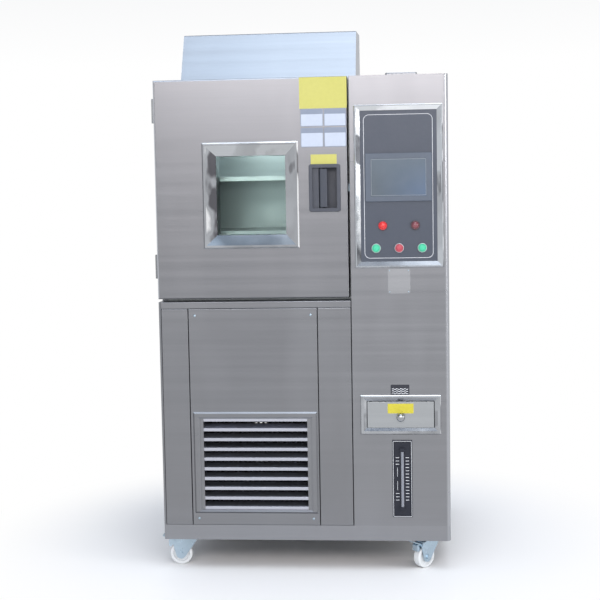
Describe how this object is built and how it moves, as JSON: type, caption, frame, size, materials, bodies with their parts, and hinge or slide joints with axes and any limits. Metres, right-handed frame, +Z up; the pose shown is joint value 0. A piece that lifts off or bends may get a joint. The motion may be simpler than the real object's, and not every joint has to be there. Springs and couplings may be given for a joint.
{
  "type": "environmental test chamber",
  "caption": "Floor-standing environmental test chamber on casters, with a windowed insulated door, a touch-screen control column, a water drawer and a louvred machine room.",
  "frame": {"origin": "on the floor, under the middle of the cabinet", "axes": "+Z up, the front with the door faces -Y, +X to the right"},
  "size_m": [0.9695, 0.991, 1.849],
  "materials": {
    "brushed_steel": "fine vertical brushed grain, satin",
    "mirror_steel": "polished bright steel",
    "inner_steel": "smooth satin stainless sheet",
    "zinc": "bright zinc plating",
    "painted_steel": "light grey powder coat",
    "slate_plastic": "fine-grained moulded plastic",
    "panel_film": "slate blue printed panel",
    "screen_glass": "glossy touch screen",
    "lens_plastic": "translucent coloured lens",
    "green_plastic": "glossy coloured cap",
    "red_plastic": "glossy coloured cap",
    "nylon": "white nylon",
    "clear_glass": "clear heated glazing",
    "clear_tube": "clear sight tube",
    "seal_rubber": "soft silicone seal",
    "foam": "rigid insulation foam with mineral wool",
    "black_metal": "black enamel",
    "fan_aluminium": "mill finish",
    "fin_aluminium": "thin fin stock",
    "tank_plastic": "translucent moulded tank"
  },
  "bodies": {
    "cabinet": {"base_frame": "brushed_steel", "left_side_panel": "brushed_steel", "right_side_panel": "brushed_steel", "rear_panel": "painted_steel", "top_cover": "brushed_steel", "lower_front_frame": "brushed_steel", "machine_room_panel": "brushed_steel", "grille_frame": "brushed_steel", "louvre_blades": "brushed_steel", "column_front_panel": "brushed_steel", "control_frame": "mirror_steel", "control_panel": "panel_film", "controller_bezel": "slate_plastic", "touch_screen": "screen_glass", "indicator_lamps": "lens_plastic", "button_collars": "mirror_steel", "drawer_frame": "brushed_steel", "gauge_frame": "slate_plastic", "gauge_tube": "clear_tube", "water_tank": "tank_plastic", "motor_hood": "brushed_steel", "circulation_motor": "black_metal", "inner_liner": "inner_steel", "chamber_insulation": "foam", "chamber_ports": "inner_steel", "air_baffle": "inner_steel", "conditioning_coils": "fin_aluminium", "shelves": "inner_steel", "shelf_rails": "inner_steel", "strike_plate": "zinc", "body_hinge_leaves": "mirror_steel", "compressor": "black_metal", "condenser": "fin_aluminium", "electrical_plate": "painted_steel", "power_gland": "slate_plastic", "caster_mounts": "zinc"},
    "door": {"door_skin": "brushed_steel", "door_liner": "inner_steel", "door_gasket": "seal_rubber", "window_frame": "mirror_steel", "window_panes": "clear_glass", "handle_case": "slate_plastic", "door_hinge_leaves": "mirror_steel"},
    "lever": {"door_lever": "slate_plastic"},
    "latch": {"latch_bolt": "zinc"},
    "drawer": {"fill_drawer": "brushed_steel", "drawer_knob": "mirror_steel"},
    "run_button": {"run_button": "green_plastic"},
    "stop_button": {"stop_button": "red_plastic"},
    "light_button": {"light_button": "green_plastic"},
    "circulation_fan": {"circulation_fan": "fan_aluminium"},
    "condenser_fan": {"condenser_fan": "fan_aluminium"},
    "front_left_fork": {"fork_front_left": "zinc"},
    "front_right_fork": {"fork_front_right": "zinc"},
    "front_left_wheel": {"wheel_front_left": "nylon"},
    "front_right_wheel": {"wheel_front_right": "nylon"},
    "rear_left_wheel": {"wheel_rear_left": "nylon"},
    "rear_right_wheel": {"wheel_rear_right": "nylon"},
    "front_left_pedal": {"brake_pedal_left": "zinc"},
    "front_right_pedal": {"brake_pedal_right": "zinc"}
  },
  "joints": [
    {"name": "door_swing", "type": "hinge", "parent": "cabinet", "child": "door", "pos_m": [-0.4865, -0.397, 1.264], "axis": [0, 0, -1], "range_deg": [0, 120]},
    {"name": "lever_pull", "type": "hinge", "parent": "door", "child": "lever", "pos_m": [0.068, -0.46, 1.26], "axis": [0, 0, -1], "range_deg": [0, 35]},
    {"name": "latch_slide", "type": "slide", "parent": "door", "child": "latch", "axis": [1, 0, 0], "range_m": [-0.016, 0], "stiffness_N_per_m": 300, "springref_m": 0.006},
    {"name": "drawer_slide", "type": "slide", "parent": "cabinet", "child": "drawer", "axis": [0, -1, 0], "range_m": [0, 0.14]},
    {"name": "run_button_press", "type": "slide", "parent": "cabinet", "child": "run_button", "axis": [0, 1, 0], "range_m": [0, 0.003], "stiffness_N_per_m": 400, "springref_m": -0.0015},
    {"name": "stop_button_press", "type": "slide", "parent": "cabinet", "child": "stop_button", "axis": [0, 1, 0], "range_m": [0, 0.003], "stiffness_N_per_m": 400, "springref_m": -0.0015},
    {"name": "light_button_press", "type": "slide", "parent": "cabinet", "child": "light_button", "axis": [0, 1, 0], "range_m": [0, 0.003], "stiffness_N_per_m": 400, "springref_m": -0.0015},
    {"name": "circulation_fan_spin", "type": "hinge", "parent": "cabinet", "child": "circulation_fan", "pos_m": [-0.162, 0.135, 1.45], "axis": [0, 0, 1], "continuous": true},
    {"name": "condenser_fan_spin", "type": "hinge", "parent": "cabinet", "child": "condenser_fan", "pos_m": [-0.1625, -0.305, 0.337], "axis": [0, 1, 0], "continuous": true},
    {"name": "front_left_swivel", "type": "hinge", "parent": "cabinet", "child": "front_left_fork", "pos_m": [-0.405, -0.395, 0.095], "axis": [0, 0, 1], "continuous": true},
    {"name": "front_right_swivel", "type": "hinge", "parent": "cabinet", "child": "front_right_fork", "pos_m": [0.405, -0.395, 0.095], "axis": [0, 0, 1], "continuous": true},
    {"name": "front_left_wheel_spin", "type": "hinge", "parent": "front_left_fork", "child": "front_left_wheel", "pos_m": [-0.43, -0.395, 0.0375], "axis": [0, 1, 0], "continuous": true},
    {"name": "front_right_wheel_spin", "type": "hinge", "parent": "front_right_fork", "child": "front_right_wheel", "pos_m": [0.38732, -0.41268, 0.0375], "axis": [-0.7071, 0.7071, 0], "continuous": true},
    {"name": "rear_left_wheel_spin", "type": "hinge", "parent": "cabinet", "child": "rear_left_wheel", "pos_m": [-0.405, 0.395, 0.0375], "axis": [1, 0, 0], "continuous": true},
    {"name": "rear_right_wheel_spin", "type": "hinge", "parent": "cabinet", "child": "rear_right_wheel", "pos_m": [0.405, 0.395, 0.0375], "axis": [1, 0, 0], "continuous": true},
    {"name": "front_left_pedal_press", "type": "hinge", "parent": "front_left_fork", "child": "front_left_pedal", "pos_m": [-0.452, -0.395, 0.0795], "axis": [0, -1, 0], "range_deg": [0, 8]},
    {"name": "front_right_pedal_press", "type": "hinge", "parent": "front_right_fork", "child": "front_right_pedal", "pos_m": [0.37177, -0.42823, 0.0795], "axis": [0.7071, -0.7071, 0], "range_deg": [0, 8]}
  ],
  "couplings": [
    {"joint": "lever_pull", "follows": "latch_slide", "rad_per_m": -38.17}
  ]
}
